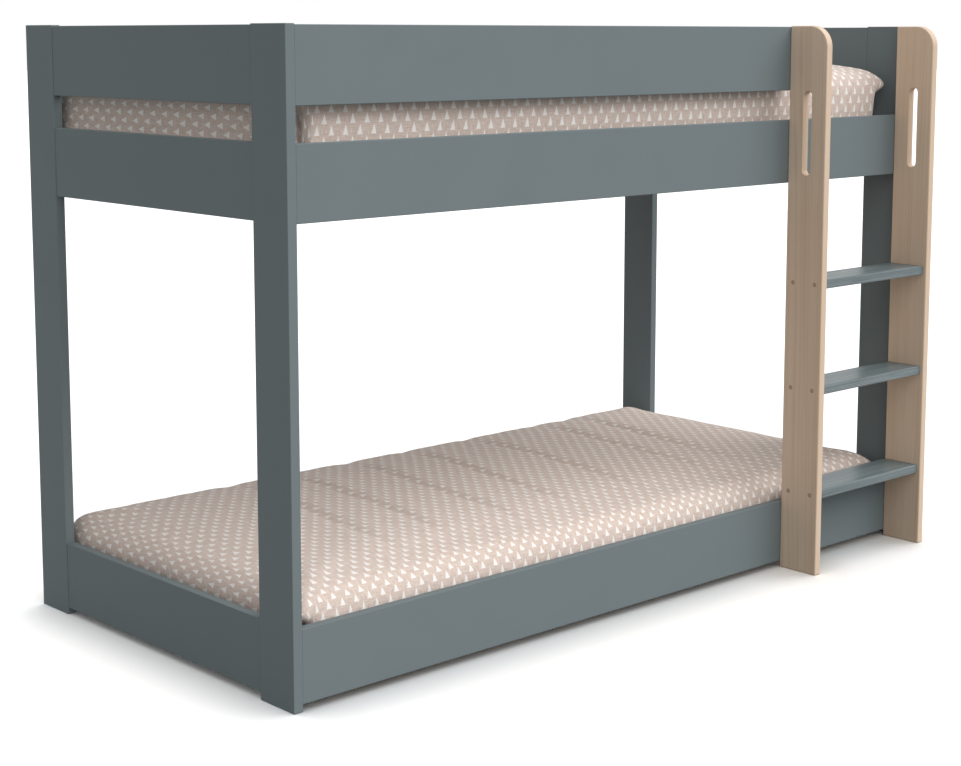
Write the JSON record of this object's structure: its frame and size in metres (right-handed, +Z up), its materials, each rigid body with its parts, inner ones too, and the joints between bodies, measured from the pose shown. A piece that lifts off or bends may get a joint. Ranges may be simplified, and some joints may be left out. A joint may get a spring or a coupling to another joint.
{
  "type": "bunk bed",
  "caption": "Low bunk bed of flat painted boards with flat posts, slatted bases, printed mattresses and a fixed side ladder of natural wood uprights with painted treads.",
  "frame": {"origin": "on the floor, under the middle of the bed and its ladder together", "axes": "+X along the bed towards the ladder end, +Y from the ladder to the rear, +Z up"},
  "size_m": [1.96, 1.063, 1.317],
  "materials": {
    "painted_board": "satin slate grey-green paint",
    "painted_tread": "slate paint over visible grain",
    "natural_wood": "matt clear varnish over straight grain",
    "pine": "planed, unfinished",
    "dowel_wood": "fluted beech",
    "zinc_die_cast": "zinc",
    "steel": "zinc plated",
    "screw_cap": "matt brown",
    "webbing": "woven tape",
    "mattress_cover": "taupe cover with small off-white triangles"
  },
  "bodies": {
    "bed_frame": {"post_front_left": "painted_board", "post_front_right": "painted_board", "post_rear_left": "painted_board", "post_rear_right": "painted_board", "end_guard_left": "painted_board", "end_guard_right": "painted_board", "end_rail_left": "painted_board", "end_rail_right": "painted_board", "end_low_rail_left": "painted_board", "end_low_rail_right": "painted_board", "front_guard": "painted_board", "rear_guard": "painted_board", "front_rail": "painted_board", "rear_rail": "painted_board", "front_low_rail": "painted_board", "rear_low_rail": "painted_board", "end_board_dowels": "dowel_wood", "cam_locks": "zinc_die_cast", "cam_bolts": "steel", "upper_ledger_front": "pine", "upper_ledger_rear": "pine", "lower_ledger_front": "pine", "lower_ledger_rear": "pine", "ledger_screws": "steel", "upper_slats": "pine", "lower_slats": "pine", "slat_screws": "steel", "upper_slat_tapes": "webbing", "lower_slat_tapes": "webbing", "ladder_upright_left": "natural_wood", "ladder_upright_right": "natural_wood", "ladder_tread_bottom": "painted_tread", "ladder_tread_middle": "painted_tread", "ladder_tread_top": "painted_tread", "ladder_screws": "steel", "tread_screws": "steel", "tread_screw_caps": "screw_cap"},
    "upper_mattress": {"upper_mattress": "mattress_cover"},
    "lower_mattress": {"lower_mattress": "mattress_cover"}
  },
  "joints": [
    {"name": "upper_mattress_lift", "type": "slide", "parent": "bed_frame", "child": "upper_mattress", "axis": [0, 0, 1], "range_m": [0, 0.3]},
    {"name": "lower_mattress_lift", "type": "slide", "parent": "bed_frame", "child": "lower_mattress", "axis": [0, 0, 1], "range_m": [0, 0.13]}
  ]
}
